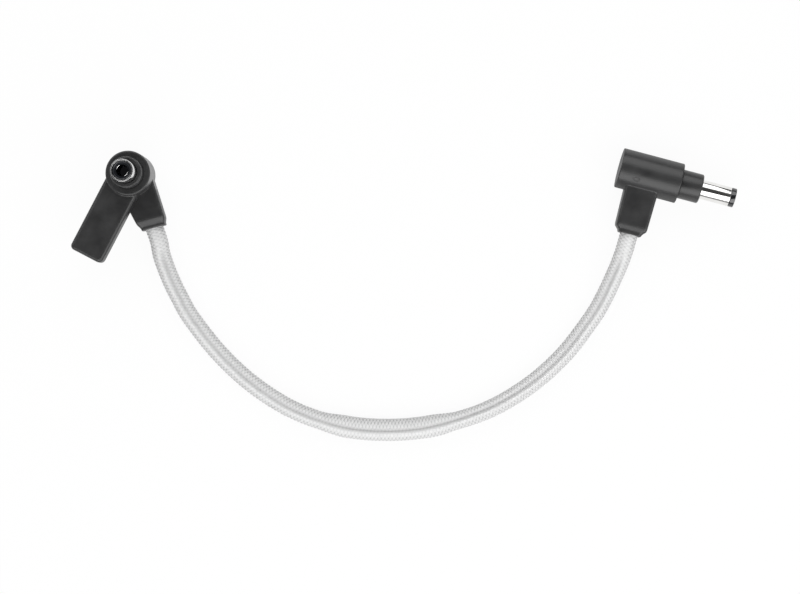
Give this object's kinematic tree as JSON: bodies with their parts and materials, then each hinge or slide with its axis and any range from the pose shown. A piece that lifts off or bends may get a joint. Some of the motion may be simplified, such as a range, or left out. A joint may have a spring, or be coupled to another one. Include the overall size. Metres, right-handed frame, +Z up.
{
  "type": "barrel plug adapter lead",
  "caption": "Short braided low-voltage power lead with right-angle barrel plugs at its ends, one of them on a swivelling head.",
  "frame": {"origin": "middle of the box round the plugs, on the surface that the lead lies on", "axes": "+Z up from the surface, +X from the swivelling plug to the plain plug, +Y away from the cord's bend"},
  "size_m": [0.189, 0.083, 0.034],
  "materials": {
    "black_pvc": "satin moulded",
    "black_nylon": "semi-gloss moulded",
    "tip_plastic": "glossy",
    "pale_plastic": "natural nylon",
    "red_wire": "wire insulation",
    "black_wire": "wire insulation",
    "rubber": "matt",
    "braid": "close textile braid",
    "nickel": "polished nickel plate",
    "brass": "stamped",
    "steel": "spring steel",
    "solder": "tin solder"
  },
  "bodies": {
    "lead": {"elbow_body": "black_pvc", "elbow_rear_cover": "black_pvc", "swivel_seal_ring": "rubber", "contact_carrier": "pale_plastic", "centre_pin_clip": "brass", "ring_wiper": "brass", "swivel_cord_end": "braid", "swivel_crimp_ring": "brass", "swivel_positive_solder": "solder", "swivel_negative_solder": "solder", "swivel_positive_wire": "red_wire", "swivel_negative_wire": "black_wire", "cord": "braid", "plain_plug_body": "black_pvc", "plain_inner_mould": "black_nylon", "plain_barrel_sleeve": "nickel", "plain_tip_insulator": "tip_plastic", "plain_centre_contact": "nickel", "plain_rear_bush": "pale_plastic", "plain_sleeve_lug": "brass", "plain_cord_end": "braid", "plain_crimp_ring": "brass", "plain_positive_solder": "solder", "plain_negative_solder": "solder", "plain_positive_wire": "red_wire", "plain_negative_wire": "black_wire"},
    "swivel_head": {"head_shell": "black_pvc", "head_spindle": "black_nylon", "swivel_barrel_sleeve": "nickel", "swivel_tip_insulator": "tip_plastic", "swivel_centre_contact": "nickel", "swivel_rear_bush": "pale_plastic", "slip_ring": "brass", "retaining_ring": "steel"}
  },
  "joints": [
    {"name": "head_swivel", "type": "hinge", "parent": "lead", "child": "swivel_head", "pos_m": [-0.07827, 0.00869, 0.0088], "axis": [0, 0, 1], "continuous": true}
  ]
}
